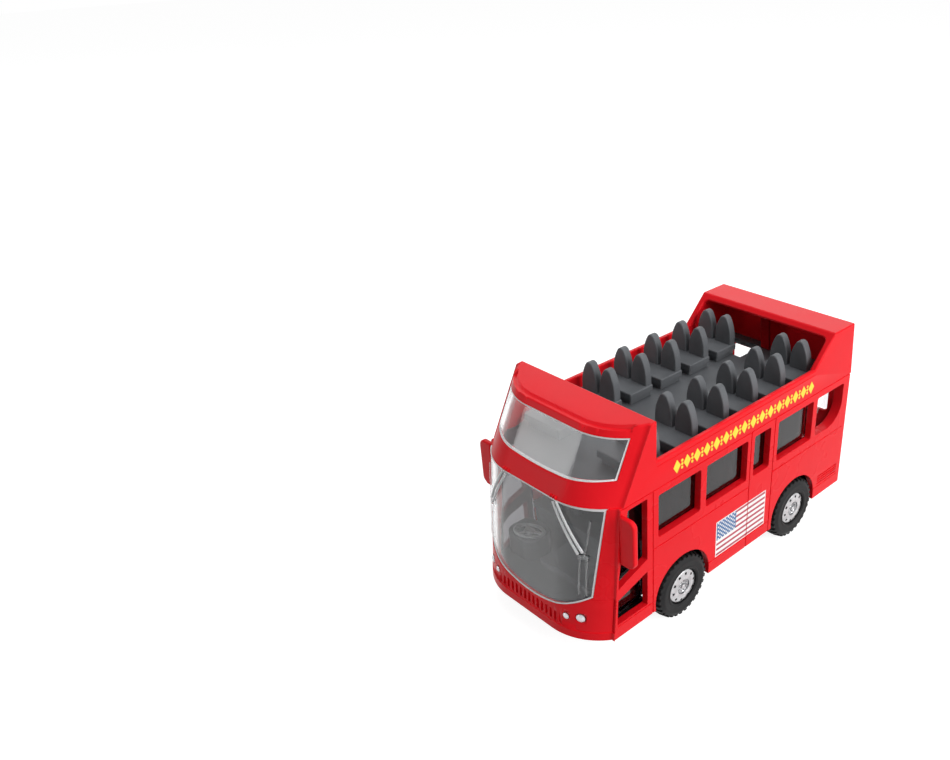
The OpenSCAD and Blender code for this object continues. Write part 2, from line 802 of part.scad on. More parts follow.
// Mirrors: plates standing out from the front pillars
mirror_from = 12.6;
mirror_out = 5.5;
mirror_t = 1.8;
mirror_low = seam_z - 17.5;
mirror_h = 15.7;
mirror_r = 2.2;
module mirror_plate() {
    face_on(behind(mirror_from) - mirror_t / 2, behind(mirror_from) + mirror_t / 2)
        translate([side_y, mirror_low]) difference() {
            translate([-2 * mirror_r, 0]) round_rect(mirror_out + 2 * mirror_r, mirror_h, mirror_r);
            translate([-3 * mirror_r, -over]) square([3 * mirror_r, mirror_h + 2 * over]);
        }
}

module mirror_left() {
    color("crimson") mirror_plate();
}

module mirror_right() {
    color("crimson") mirror([0, 1, 0]) mirror_plate();
}

// Base: plate between the walls with bearing blocks for both axles and posts under the saloon
base_rise = 0.4;
base_t = 2;
bearing_l = 6.4;
bearing_y = [tyre_in - 10.5, tyre_in - 3.5];
bearing_floor = 0.44;
bearing_cover = 1.6;
well_gap = 1;
post_d = 5;
post_y = 14;
posts = [0.335, 0.487];
module chassis() {
    base_z = body_bottom + base_rise;
    bearing_z = min(base_z, axle_z - axle_d / 2 - axle_play - bearing_floor);
    bearing_h = axle_z + axle_d / 2 + bearing_cover - bearing_z;
    color([0.12, 0.12, 0.13]) difference() {
        union() {
            lower_block(wall + panel_gap, base_z, base_z + base_t, lower_rear_x + wall + panel_gap);
            for (x = [front_axle_x, rear_axle_x], s = [-1, 1])
                translate([x - bearing_l / 2, s > 0 ? bearing_y[0] : -bearing_y[1], bearing_z])
                    cube([bearing_l, bearing_y[1] - bearing_y[0], bearing_h]);
            for (share = posts, s = [-1, 1]) translate([along(share), s * post_y, base_z])
                cylinder(saloon_z - tray_t - base_z, d = post_d, $fn = round_fn);
        }
        for (x = [front_axle_x, rear_axle_x]) {
            for (s = [-1, 1])
                translate([x - tyre_d / 2 - well_gap, s > 0 ? tyre_in - well_gap : -body_w, base_z - over])
                    cube([tyre_d + 2 * well_gap, body_w - tyre_in + well_gap, base_t + 2 * over]);
            translate([x, body_w, axle_z]) rotate([90, 0, 0])
                cylinder(2 * body_w, d = axle_d + 2 * axle_play, $fn = fine);
            translate([x - axle_d / 2 - well_gap, -bearing_y[0], base_z - over])
                cube([axle_d + 2 * well_gap, 2 * bearing_y[0], base_t + 2 * over]);
            for (s = [-1, 1])
                translate([x - axle_d / 2 - well_gap, s > 0 ? bearing_y[1] : -body_w, base_z - over])
                    cube([axle_d + 2 * well_gap, body_w - bearing_y[1], base_t + 2 * over]);
        }
    }
}

// Wheels: each axle carries a chromed hub and a lugged tyre at either end
hub_seat = 0.02;
hub_inset = 0.3;
hub_step = 1;
hub_rim = 0.8;
hub_slope = 0.4;
hub_tail = 1;
dome_d = 4.6;
dome_taper = 0.6;
dome_drop = [0.5, 0.2];
hole_count = 10;
hole_d = 0.9;
hole_ring_d = 8;
hub_bore_l = 4;
axle_end_gap = 0.2;
shoulder = 0.8;
lug_gap = 0.9;
lug_depth = 0.9;

// Turns a piece made along +Z, outer face at zero, to the left or right wheel's place
module wheel_place(x, s) {
    translate([x, s * tyre_out, axle_z]) rotate([s > 0 ? -90 : 90, 0, 0]) children();
}

module tyre(x, s) {
    outer = tyre_d / 2;
    bead = hub_d / 2 + hub_seat;
    color([0.1, 0.1, 0.1]) wheel_place(x, s) difference() {
        rotate_extrude($fn = fine) polygon([
            [bead, -tyre_w], [outer - shoulder, -tyre_w], [outer, shoulder - tyre_w],
            [outer, -shoulder], [outer - shoulder, 0], [bead, 0]
        ]);
        for (i = [0:lug_count - 1]) rotate(i * 360 / lug_count)
            translate([outer - lug_depth, -lug_gap / 2, -tyre_w - over])
                cube([2 * lug_depth, lug_gap, tyre_w + 2 * over]);
    }
}

module hub(x, s) {
    hub_r = hub_d / 2;
    back = hub_tail - tyre_w;
    well = -hub_step - hub_inset;
    color("silver") wheel_place(x, s) difference() {
        rotate_extrude($fn = fine) polygon([
            [0, back], [hub_r, back], [hub_r, -hub_inset], [hub_r - hub_rim, -hub_inset],
            [hub_r - hub_rim - hub_slope, well], [dome_d / 2, well],
            [dome_d / 2 - dome_taper, -dome_drop[0]], [0, -dome_drop[1]]
        ]);
        translate([0, 0, -tyre_w]) cylinder(hub_tail + hub_bore_l, d = axle_d + 2 * hub_seat, $fn = fine);
        for (i = [0:hole_count - 1]) rotate(i * 360 / hole_count)
            translate([hole_ring_d / 2, 0, well - hub_step])
                cylinder(2 * hub_step, d = hole_d, $fn = round_fn);
    }
}

module axle(x) {
    half = tyre_in + hub_tail + hub_bore_l - axle_end_gap;
    color("gray") translate([x, half, axle_z]) rotate([90, 0, 0]) cylinder(2 * half, d = axle_d, $fn = fine);
}

module front_axle() {
    axle(front_axle_x);
}

module rear_axle() {
    axle(rear_axle_x);
}

module front_left_hub() {
    hub(front_axle_x, 1);
}

module front_right_hub() {
    hub(front_axle_x, -1);
}

module rear_left_hub() {
    hub(rear_axle_x, 1);
}

module rear_right_hub() {
    hub(rear_axle_x, -1);
}

module front_left_tyre() {
    tyre(front_axle_x, 1);
}

module front_right_tyre() {
    tyre(front_axle_x, -1);
}

module rear_left_tyre() {
    tyre(rear_axle_x, 1);
}

module rear_right_tyre() {
    tyre(rear_axle_x, -1);
}

chassis();
lower_body();
upper_body();
front_bumper();
headlamps();
lower_windscreen();
upper_windscreen();
left_glazing();
right_glazing();
rear_window();
lower_deck();
dashboard();
steering_wheel();
upper_deck();
mirror_left();
mirror_right();
front_axle();
front_left_hub();
front_right_hub();
front_left_tyre();
front_right_tyre();
rear_axle();
rear_left_hub();
rear_right_hub();
rear_left_tyre();
rear_right_tyre();
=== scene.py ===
import math

import bmesh
import bpy
from mathutils import Matrix, Vector


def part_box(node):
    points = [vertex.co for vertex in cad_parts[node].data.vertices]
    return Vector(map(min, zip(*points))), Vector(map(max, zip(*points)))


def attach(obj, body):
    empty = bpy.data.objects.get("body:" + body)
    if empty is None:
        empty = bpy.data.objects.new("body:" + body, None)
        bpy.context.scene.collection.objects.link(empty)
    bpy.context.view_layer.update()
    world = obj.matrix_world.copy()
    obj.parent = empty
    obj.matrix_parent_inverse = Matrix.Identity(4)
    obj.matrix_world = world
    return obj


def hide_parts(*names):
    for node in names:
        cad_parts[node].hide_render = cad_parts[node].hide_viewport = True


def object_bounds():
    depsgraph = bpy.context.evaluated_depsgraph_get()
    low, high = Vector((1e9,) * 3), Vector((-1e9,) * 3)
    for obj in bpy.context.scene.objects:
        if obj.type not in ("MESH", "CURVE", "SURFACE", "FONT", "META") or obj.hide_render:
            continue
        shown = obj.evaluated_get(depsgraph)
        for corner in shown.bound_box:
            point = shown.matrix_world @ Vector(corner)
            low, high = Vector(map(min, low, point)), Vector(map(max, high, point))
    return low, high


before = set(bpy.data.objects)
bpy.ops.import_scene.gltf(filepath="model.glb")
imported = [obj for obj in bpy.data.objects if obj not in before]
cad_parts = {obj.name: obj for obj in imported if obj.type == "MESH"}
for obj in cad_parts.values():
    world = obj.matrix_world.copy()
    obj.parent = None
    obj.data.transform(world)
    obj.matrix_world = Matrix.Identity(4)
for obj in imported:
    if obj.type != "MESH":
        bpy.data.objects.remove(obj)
cad_low, cad_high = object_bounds()
scene = bpy.context.scene
scene.view_settings.view_transform = "Standard"

# The camera stands ahead of the bus's left front corner, above it. Its optical axis falls
# right of and below the middle of a 950 pixel wide frame, which the lens shift gives.
mm = 0.001
frame_px = 950
focal_px = 893.45
axis_px = Vector((130, 45))
film_mm = 36
camera_place = Vector((188.49, 167.66, 191.17)) * mm
camera_look = Vector((-0.60032, -0.62889, -0.49408)).normalized()
camera_right = Vector((-0.7125, 0.70116, -0.02677))

camera_up = camera_right.cross(camera_look).normalized()
camera_right = camera_look.cross(camera_up)
lens = bpy.data.cameras.new("camera")
lens.sensor_width = film_mm
lens.lens = film_mm * focal_px / frame_px
lens.shift_x = -axis_px.x / frame_px
lens.shift_y = axis_px.y / frame_px
lens.clip_start = 0.01
camera = bpy.data.objects.new("camera", lens)
turn = Matrix((camera_right, camera_up, -camera_look)).transposed()
camera.matrix_world = Matrix.Translation(camera_place) @ turn.to_4x4()
scene.collection.objects.link(camera)
scene.camera = camera


# The studio: a pale matt sheet under the toy runs on to a white background. Large soft lamps
# stand at the bus's left side, over it, behind it and ahead of its right corner.
def put(tree, kind, sockets=None, **settings):
    """Adds a node, sets it, and links or fills its sockets."""
    node = tree.nodes.new(kind)
    for key, value in settings.items():
        setattr(node, key, value)
    for key, value in (sockets or {}).items():
        if isinstance(value, bpy.types.NodeSocket):
            tree.links.new(value, node.inputs[key])
        else:
            node.inputs[key].default_value = value
    return node


def seen_directly(tree):
    """1 for rays that show the background: from the camera, in a reflection or through glass."""
    path = put(tree, "ShaderNodeLightPath")
    either = put(tree, "ShaderNodeMath", {0: path.outputs["Is Camera Ray"],
                 1: path.outputs["Is Glossy Ray"]}, operation="MAXIMUM")
    return put(tree, "ShaderNodeMath", {0: either.outputs[0],
               1: path.outputs["Is Transmission Ray"]}, operation="MAXIMUM").outputs[0]


room_light = 0.25
world = bpy.data.worlds.new("room")
world.use_nodes = True
room = world.node_tree
background = room.nodes["Background"]
background.inputs["Color"].default_value = (1, 1, 1, 1)
level = put(room, "ShaderNodeMapRange", {"Value": seen_directly(room), "To Min": room_light, "To Max": 1.0})
room.links.new(level.outputs["Result"], background.inputs["Strength"])
scene.world = world

sheet_half = 3.0
sheet_tone = 0.4
sheet_lift = 0.88
sheet_shape = bmesh.new()
bmesh.ops.create_grid(sheet_shape, x_segments=1, y_segments=1, size=sheet_half)
sheet_mesh = bpy.data.meshes.new("studio_sheet")
sheet_shape.to_mesh(sheet_mesh)
sheet_shape.free()
sheet = bpy.data.objects.new("studio_sheet", sheet_mesh)
scene.collection.objects.link(sheet)
sheet_finish = bpy.data.materials.new("pale_sheet")
sheet_finish.use_nodes = True
paper = sheet_finish.node_tree
paper.nodes.clear()
matt = put(paper, "ShaderNodeBsdfDiffuse", {"Color": (sheet_tone, sheet_tone, sheet_tone, 1)})
glow_level = put(paper, "ShaderNodeMath", {0: seen_directly(paper), 1: sheet_lift}, operation="MULTIPLY")
glow = put(paper, "ShaderNodeEmission", {"Strength": glow_level.outputs[0]})
both = put(paper, "ShaderNodeAddShader", {0: matt.outputs[0], 1: glow.outputs[0]})
put(paper, "ShaderNodeOutputMaterial", {"Surface": both.outputs[0]})
sheet_mesh.materials.append(sheet_finish)

aim = (cad_low + cad_high) / 2
for lamp_name, lamp_place, lamp_size, lamp_watts in (
    ("side_lamp", Vector((-0.15, 0.85, 0.42)), 0.8, 9.0),
    ("roof_lamp", Vector((-0.1, 0.1, 1.0)), 0.6, 3.0),
    ("back_lamp", Vector((-0.75, -0.6, 0.7)), 0.8, 2.5),
    ("front_lamp", Vector((0.85, -0.6, 0.32)), 0.35, 1.2),
):
    panel = bpy.data.lights.new(lamp_name, "AREA")
    panel.energy = lamp_watts
    panel.size = lamp_size
    lamp = bpy.data.objects.new(lamp_name, panel)
    lamp.location = lamp_place
    lamp.rotation_euler = (aim - lamp_place).to_track_quat("-Z", "Y").to_euler()
    scene.collection.objects.link(lamp)


# Lower shell: one zinc casting with its windows, doorways, arches and panel lines cast in,
# sprayed with gloss red enamel. Its cast edges are slightly round.
def merged_copy(node):
    """A CAD node's shape with its triangles joined into whole faces."""
    shape = bmesh.new()
    shape.from_mesh(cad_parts[node].data)
    bmesh.ops.remove_doubles(shape, verts=shape.verts, dist=0.001 * mm)
    bmesh.ops.dissolve_limit(shape, angle_limit=math.radians(0.4), verts=shape.verts, edges=shape.edges)
    return shape


def room_beside(edge, face):
    """About how far a face reaches from one of its edges."""
    strip = 2 * face.calc_area() / face.calc_perimeter()
    return face.calc_area() / edge.calc_length() if edge.calc_length() < 2 * strip else strip


def takes_rounding(edge, radius, crease):
    """Whether an outer edge is sharp, isn't a foot and has faces wide enough to be rounded over."""
    if len(edge.link_faces) != 2 or not edge.is_convex or edge.calc_face_angle(0) < math.radians(crease):
        return False
    return all(room_beside(edge, face) > 2.2 * radius and face.normal.z > -0.95 for face in edge.link_faces)


def add_piece(shape, name, body, finish, stands_for=(), radius=0.0, segments=2, crease=40):
    """Makes a shape a piece of the toy, with its sharp outer edges rounded over."""
    weight = shape.edges.layers.float.new("bevel_weight_edge")
    for edge in shape.edges:
        edge[weight] = 1.0 if radius and takes_rounding(edge, radius, crease) else 0.0
    mesh = bpy.data.meshes.new(name)
    shape.to_mesh(mesh)
    shape.free()
    mesh.shade_smooth()
    mesh.set_sharp_from_angle(angle=math.radians(crease - 8))
    for material in finish if isinstance(finish, tuple) else (finish,):
        mesh.materials.append(material)
    piece = bpy.data.objects.new(name, mesh)
    scene.collection.objects.link(piece)
    if radius:
        rounding = piece.modifiers.new("rounded_edges", "BEVEL")
        rounding.limit_method = "WEIGHT"
        rounding.width = radius
        rounding.segments = segments
        rounding.use_clamp_overlap = False
        shading = piece.modifiers.new("flat_faces", "WEIGHTED_NORMAL")
        shading.keep_sharp = True
    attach(piece, body)
    if stands_for:
        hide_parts(*stands_for)
    return piece


def moulded_finish(name, low_tone, high_tone, roughness, cloud_mm, grain_mm, grain_depth):
    """A moulded or sprayed surface: slow drifts of tone and gloss and a fine skin grain."""
    material = bpy.data.materials.new(name)
    material.use_nodes = True
    tree = material.node_tree
    shader = tree.nodes["Principled BSDF"]
    place = put(tree, "ShaderNodeTexCoord").outputs["Object"]
    cloud = put(tree, "ShaderNodeTexNoise", {"Vector": place, "Scale": 1 / (cloud_mm * mm), "Detail": 3.0})
    tone = put(tree, "ShaderNodeValToRGB", {"Fac": cloud.outputs["Fac"]})
    tone.color_ramp.elements[0].position = 0.3
    tone.color_ramp.elements[0].color = (*low_tone, 1)
    tone.color_ramp.elements[1].position = 0.7
    tone.color_ramp.elements[1].color = (*high_tone, 1)
    tree.links.new(tone.outputs["Color"], shader.inputs["Base Color"])
    gloss = put(tree, "ShaderNodeMapRange", {"Value": cloud.outputs["Fac"], "From Min": 0.3, "From Max": 0.7,
                "To Min": roughness[0], "To Max": roughness[1]})
    tree.links.new(gloss.outputs["Result"], shader.inputs["Roughness"])
    grain = put(tree, "ShaderNodeTexNoise", {"Vector": place, "Scale": 1 / (grain_mm * mm), "Detail": 2.0})
    skin = put(tree, "ShaderNodeBump", {"Height": grain.outputs["Fac"], "Distance": grain_depth * mm,
               "Strength": 1.0})
    tree.links.new(skin.outputs["Normal"], shader.inputs["Normal"])
    return material


red_enamel = moulded_finish("red_enamel", (0.76, 0.006, 0.013), (0.82, 0.009, 0.017), (0.24, 0.32),
                            cloud_mm=18, grain_mm=1.6, grain_depth=0.004)
red_enamel.node_tree.nodes["Principled BSDF"].inputs["Specular IOR Level"].default_value = 0.1
add_piece(merged_copy("lower_body"), "lower_shell", "bus", red_enamel, ("lower_body",),
          radius=0.1 * mm)

# Upper shell, bumper and mirrors: red plastic mouldings in the colour of the enamel. The shell
# is pushed over the rim of the lower one, the mirrors are glued into the front pillars.
red_plastic = moulded_finish("red_plastic", (0.77, 0.007, 0.014), (0.83, 0.010, 0.018), (0.28, 0.36),
                             cloud_mm=14, grain_mm=1.1, grain_depth=0.003)
red_plastic.node_tree.nodes["Principled BSDF"].inputs["Specular IOR Level"].default_value = 0.1
for node, name, radius in (("upper_body", "upper_shell", 0.45), ("front_bumper", "bumper", 0.1),
                           ("mirror_left", "left_mirror", 0.5), ("mirror_right", "right_mirror", 0.5)):
    shell = merged_copy(node)
    if node == "front_bumper":
        for z in (14.2, 18.2):
            bmesh.ops.bisect_plane(shell, geom=shell.verts[:] + shell.edges[:] + shell.faces[:],
                                   plane_co=(0, 0, z * mm), plane_no=(0, 0, 1))
    add_piece(shell, name, "bus", red_plastic, (node,), radius=radius * mm, segments=3)

# Headlamps: silvered domes with a narrow collar, pressed into bores of the bumper. Each looks
# square out of the bowed front where it stands.
bow_r = 20.265
bow_flat = 10.5
front_lean = math.tan(math.radians(4.8))
front_nose = Vector((62.55, 0, 9))


def on_front(out, rise, proud):
    """A point on the bowed, leaning lower front, or proud of it, from its front view in millimetres."""
    turn = math.asin(max(0.0, abs(out) - bow_flat) / bow_r)
    skin = front_nose + Vector((bow_r * (math.cos(turn) - 1) - (rise - front_nose.z) * front_lean, out,
                                rise - front_nose.z))
    return (skin + proud * Vector((math.cos(turn), math.copysign(math.sin(turn), out), front_lean))) * mm


def turned(profile, steps, closed=False):
    """A turning about Z from (radius, height) points in millimetres."""
    shape = bmesh.new()
    ring = [shape.verts.new((radius * mm, 0, height * mm)) for radius, height in profile]
    pairs = list(zip(ring, ring[1:])) + ([(ring[-1], ring[0])] if closed else [])
    edges = [shape.edges.new(pair) for pair in pairs]
    bmesh.ops.spin(shape, geom=ring + edges, cent=(0, 0, 0), axis=(0, 0, 1), dvec=(0, 0, 0),
                   angle=2 * math.pi, steps=steps, use_merge=True)
    bmesh.ops.remove_doubles(shape, verts=shape.verts, dist=0.001 * mm)
    bmesh.ops.recalc_face_normals(shape, faces=shape.faces)
    return shape


def gather(parts):
    """One shape from several loose ones."""
    whole = bmesh.new()
    for part in parts:
        mesh = bpy.data.meshes.new("part")
        part.to_mesh(mesh)
        part.free()
        whole.from_mesh(mesh)
        bpy.data.meshes.remove(mesh)
    return whole


silver = moulded_finish("lamp_silver", (0.55, 0.55, 0.57), (0.68, 0.68, 0.70), (0.16, 0.26),
                        cloud_mm=3, grain_mm=0.5, grain_depth=0.002)
silver.node_tree.nodes["Principled BSDF"].inputs["Metallic"].default_value = 0.7
lamp_profile = [(0, -1.2), (0.94, -1.2), (0.96, -0.05), (1.14, 0), (1.14, 0.1), (1.04, 0.17), (0.94, 0.12),
                (0.86, 0.2), (0.66, 0.38), (0.4, 0.5), (0, 0.55)]
lamp_steps = 32
face_forward = Matrix.Rotation(math.radians(90), 4, "Y")
buttons = []
for lamp_out, lamp_z, lamp_d in ((15.6, 15.7, 1.75), (20.0, 16.3, 2.4)):
    for side in (-1, 1):
        button = turned([(share * lamp_d / 2, height) for share, height in lamp_profile], lamp_steps)
        look = Matrix.Rotation(side * math.asin((lamp_out - bow_flat) / bow_r), 4, "Z")
        seat = Matrix.Translation(on_front(side * lamp_out, lamp_z, 0))
        bmesh.ops.transform(button, verts=button.verts, matrix=seat @ look @ face_forward)
        buttons.append(button)
add_piece(gather(buttons), "headlamp_buttons", "bus", silver, ("headlamps",))

# Seat trays: each deck is one dark grey moulding with its floor and benches, spark-eroded to a
# satin skin. The seats' edges are well rounded so that they leave the mould, and the upper
# deck's front row stands close behind the visor.
# Both trays are the same grey plastic: the upper is painted lighter as painted light on the open deck, and the
# lower tray and console are painted darker as painted shade inside the lower saloon.
upper_grey_painted_light = moulded_finish("upper_tray_grey_painted_light", (0.100, 0.106, 0.114), (0.126, 0.133, 0.142), (0.42, 0.52),
                            cloud_mm=9, grain_mm=0.5, grain_depth=0.006)
lower_grey_painted_shade = moulded_finish("lower_tray_grey_painted_shade", (0.052, 0.055, 0.060), (0.068, 0.072, 0.078), (0.42, 0.52),
                            cloud_mm=9, grain_mm=0.5, grain_depth=0.006)
front_row_x = (24.5 * mm, 40 * mm)
front_row_forward = 2 * mm
bench_reach = 24.6 * mm
for finish in (upper_grey_painted_light, lower_grey_painted_shade):
    finish.node_tree.nodes["Principled BSDF"].inputs["Specular IOR Level"].default_value = 0.22
for node, name, finish, radius in (("upper_deck", "upper_seat_tray", upper_grey_painted_light, 0.4),
                                   ("lower_deck", "lower_seat_tray", lower_grey_painted_shade, 0.4),
                                   ("dashboard", "console", lower_grey_painted_shade, 0.7)):
    tray = merged_copy(node)
    if node == "upper_deck":
        bmesh.ops.translate(tray, vec=(front_row_forward, 0, 0), verts=[vert for vert in tray.verts
                            if front_row_x[0] < vert.co.x < front_row_x[1] and abs(vert.co.y) < bench_reach])
    add_piece(tray, name, "bus", finish, (node,), radius=radius * mm, segments=3)
rim_grey = moulded_finish("steering_rim_grey", (0.16, 0.165, 0.17), (0.2, 0.205, 0.21), (0.3, 0.4),
                          cloud_mm=3, grain_mm=0.4, grain_depth=0.004)
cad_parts["steering_wheel"].data.materials.clear()
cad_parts["steering_wheel"].data.materials.append(rim_grey)

# Glazing: polystyrene mouldings snapped in behind their openings. The screens are clear with a whitish
# frosted rim, which is painted highlight. The side strips stand out into four windows and are tinted dark
# up to the rearmost: the tint is painted shade that darkens what is seen through them.
clear_tone = (0.97, 0.98, 0.985)


def glazing_finish(name, tint, tint_end=None):
    """Polished clear plastic with a slow ripple in its gloss, tinted ahead of tint_end."""
    material = bpy.data.materials.new(name)
    material.use_nodes = True
    tree = material.node_tree
    shader = tree.nodes["Principled BSDF"]
    shader.inputs["Transmission Weight"].default_value = 1.0
    shader.inputs["IOR"].default_value = 1.42
    place = put(tree, "ShaderNodeTexCoord").outputs["Object"]
    ripple = put(tree, "ShaderNodeTexNoise", {"Vector": place, "Scale": 120.0, "Detail": 2.0})
    haze = put(tree, "ShaderNodeMapRange", {"Value": ripple.outputs["Fac"], "To Min": 0.01, "To Max": 0.05})
    tree.links.new(haze.outputs["Result"], shader.inputs["Roughness"])
    shader.inputs["Base Color"].default_value = (*tint, 1)
    if tint_end is not None:
        along = put(tree, "ShaderNodeSeparateXYZ", {"Vector": place}).outputs["X"]
        share = put(tree, "ShaderNodeMapRange", {"Value": along, "From Min": tint_end - mm,
                    "From Max": tint_end + mm})
        wash = put(tree, "ShaderNodeMix", {"Factor": share.outputs["Result"], "A": (*clear_tone, 1),
                   "B": (*tint, 1)}, data_type="RGBA")
        tree.links.new(wash.outputs["Result"], shader.inputs["Base Color"])
    return material


clear_plastic = glazing_finish("clear_polystyrene", clear_tone)
# The side strips' grey tint is painted shade: it darkens the view through the windows, and the rearmost stays
# clear.
painted_shade_glazing = glazing_finish("painted_shade_polystyrene", (0.17, 0.165, 0.175), tint_end=-37.2 * mm)
# The whitish frosted finish is painted highlight: it stands in for the bright edges of clear plastic.
frosted_painted_highlight = moulded_finish("frosted_rim_painted_highlight", (0.90, 0.91, 0.92), (0.96, 0.97, 0.98), (0.3, 0.45),
                         cloud_mm=2, grain_mm=0.3, grain_depth=0.006)
frosted_painted_highlight.node_tree.nodes["Principled BSDF"].inputs["Transmission Weight"].default_value = 0.3
rim_tilt = 0.3
screen_t = 1.2 * mm
for node, name, rim_width in (("lower_windscreen", "lower_screen", 0.5),
                              ("upper_windscreen", "upper_screen", 0.35)):
    pane = merged_copy(node)
    bmesh.ops.delete(pane, geom=[face for face in pane.faces if face.normal.x > -rim_tilt], context="FACES")
    raised = bmesh.ops.extrude_face_region(pane, geom=pane.faces[:], use_keep_orig=True)["geom"]
    skin = [item for item in raised if isinstance(item, bmesh.types.BMFace)]
    for vert in {vert for face in skin for vert in face.verts}:
        vert.co.x += screen_t / abs(vert.normal.x)
    bmesh.ops.recalc_face_normals(pane, faces=pane.faces)
    rim = bmesh.ops.inset_region(pane, faces=skin, thickness=rim_width * mm, use_even_offset=True,
                                 use_boundary=True)["faces"]
    for face in pane.faces:
        face.material_index = 1 if face in rim or abs(face.normal.x) < rim_tilt else 0
    add_piece(pane, name, "bus", (clear_plastic, frosted_painted_highlight), (node,))

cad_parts["rear_window"].data.materials.clear()
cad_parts["rear_window"].data.materials.append(clear_plastic)

window_spans = ((16.74, 35.16), (-5.52, 14.08), (-17.24, -8.97), (-40.69, -21.38))
window_rise = (35.8, 50.4)
pane_gap = 0.35
pane_wall = 0.5
pane_raise = 1.6 * mm
square_on = 0.9


def plate_of(strip, facing):
    """The faces of a strip that look straight out to one side."""
    return [face for face in strip.faces if facing * face.normal.y > square_on]


for node, name, side in (("left_glazing", "left_window_strip", 1),
                         ("right_glazing", "right_window_strip", -1)):
    strip = merged_copy(node)
    for facing, inset in ((side, pane_gap), (-side, pane_gap + pane_wall)):
        spans = [(low + inset, high - inset) for low, high in window_spans]
        low_z, high_z = window_rise[0] + inset, window_rise[1] - inset
        cuts = [((x, 0, 0), (1, 0, 0)) for span in spans for x in span]
        cuts += [((0, 0, z), (0, 0, 1)) for z in (low_z, high_z)]
        for place, normal in cuts:
            plate = plate_of(strip, facing)
            lines = {edge for face in plate for edge in face.edges}
            corners = {vert for face in plate for vert in face.verts}
            bmesh.ops.bisect_plane(strip, geom=[*corners, *lines, *plate], plane_co=Vector(place) * mm,
                                   plane_no=normal)
        panes = []
        for face in plate_of(strip, facing):
            middle = face.calc_center_median() / mm
            if low_z < middle.z < high_z and any(low < middle.x < high for low, high in spans):
                panes.append(face)
        raised = bmesh.ops.extrude_discrete_faces(strip, faces=panes)["faces"]
        bmesh.ops.translate(strip, vec=(0, side * pane_raise, 0),
                            verts=list({vert for face in raised for vert in face.verts}))
    add_piece(strip, name, "bus", painted_shade_glazing, (node,)).data.shade_flat()

# Wipers: moulded in one with the lower screen, a blade of two ribs in the whitish frosted finish, which is
# painted highlight, a clear linkage of two rods with its joint, and a thin arm, all following the screen's bow.
wiper_sunk = -0.3
wiper_proud = 0.38


def add_stroke(shape, start, end, width, index):
    """Adds a straight rib of the wiper, given in front view in millimetres, and bends it to the screen."""
    run = end - start
    foot = bmesh.ops.create_grid(shape, x_segments=8, y_segments=1, size=0.5)["verts"]
    bmesh.ops.scale(shape, vec=(run.length, width, 1), verts=foot)
    lay = Matrix.Translation((*((start + end) / 2), 0)) @ Matrix.Rotation(math.atan2(run.y, run.x), 4, "Z")
    bmesh.ops.transform(shape, matrix=lay, verts=foot)
    faces = list({face for vert in foot for face in vert.link_faces})
    raised = bmesh.ops.extrude_face_region(shape, geom=faces, use_keep_orig=True)["geom"]
    crown = [item for item in raised if isinstance(item, bmesh.types.BMVert)]
    for verts, proud in ((foot, wiper_sunk), (crown, wiper_proud)):
        for vert in verts:
            vert.co = on_front(vert.co.x, vert.co.y, proud)
    for face in {face for vert in foot + crown for face in vert.link_faces}:
        face.material_index = index


wipers = bmesh.new()
for side in (-1, 1):
    for start, end, width, index in (
        ((18.87, 38.05), (10.25, 52.1), 0.62, 1), ((20.1, 38.75), (11.5, 52.7), 0.62, 1),
        ((19.4, 24.8), (19.4, 37.4), 0.42, 0), ((21.2, 24.8), (21.2, 37.4), 0.42, 0),
        ((18.9, 37.4), (21.7, 37.4), 1.3, 0), ((20.6, 37.4), (21.7, 49.4), 0.42, 0),
    ):
        add_stroke(wipers, Vector((side * start[0], start[1])), Vector((side * end[0], end[1])), width, index)
bmesh.ops.recalc_face_normals(wipers, faces=wipers.faces)
add_piece(wipers, "screen_wipers", "bus", (clear_plastic, frosted_painted_highlight), radius=0.1 * mm)

# Wiper clips: three small red teeth on the band's lower edge over each wiper blade, moulded
# with the upper shell to hold the windscreen's top.
clip_x = 58.75
clip_z = 53.5
clip_out = 10.2
clip_pitch = 1.0
clip_round = 0.15
clip_size = Vector((0.7, 0.55, 1.0))
clips = bmesh.new()
for side in (-1, 1):
    for tooth in (-1, 0, 1):
        spot = Vector((clip_x, side * (clip_out + tooth * clip_pitch), clip_z)) * mm
        made = bmesh.ops.create_cube(clips, size=1.0)["verts"]
        bmesh.ops.scale(clips, vec=clip_size * mm, verts=made)
        bmesh.ops.translate(clips, vec=spot, verts=made)
bmesh.ops.bevel(clips, geom=clips.edges[:], offset=clip_round * mm, offset_type="OFFSET", affect="EDGES",
                segments=2, profile=0.5, material=-1)
add_piece(clips, "wiper_clips", "bus", red_plastic)

# Flags: a common striped pattern with dots, pad-printed on both sides of the finished lower
# shell in three inks, a hair proud of the enamel. Each is parted where the door's panel line runs.
side_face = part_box("lower_body")[1].y
ink_sunk = 0.02 * mm
ink_proud = 0.05 * mm


def flat_sheet(x_low, x_high, z_low, z_high):
    """A flat rectangle of ink, drawn as the side is seen, with x forward and y up."""
    shape = bmesh.new()
    bmesh.ops.create_grid(shape, x_segments=1, y_segments=1, size=0.5)
    bmesh.ops.scale(shape, vec=(x_high - x_low, z_high - z_low, 1), verts=shape.verts)
    bmesh.ops.translate(shape, vec=((x_low + x_high) / 2, (z_low + z_high) / 2, 0), verts=shape.verts)
    return shape


def add_dot(shape, x, z, radius_x, radius_z, corners, index):
    """Adds a round or lozenge-shaped dot of one ink to a flat drawing."""
    made = bmesh.ops.create_circle(shape, cap_ends=True, segments=corners, radius=1.0)["verts"]
    bmesh.ops.scale(shape, vec=(radius_x, radius_z, 1), verts=made)
    bmesh.ops.translate(shape, vec=(x, z, 0), verts=made)
    for face in {face for vert in made for face in vert.link_faces}:
        face.material_index = index


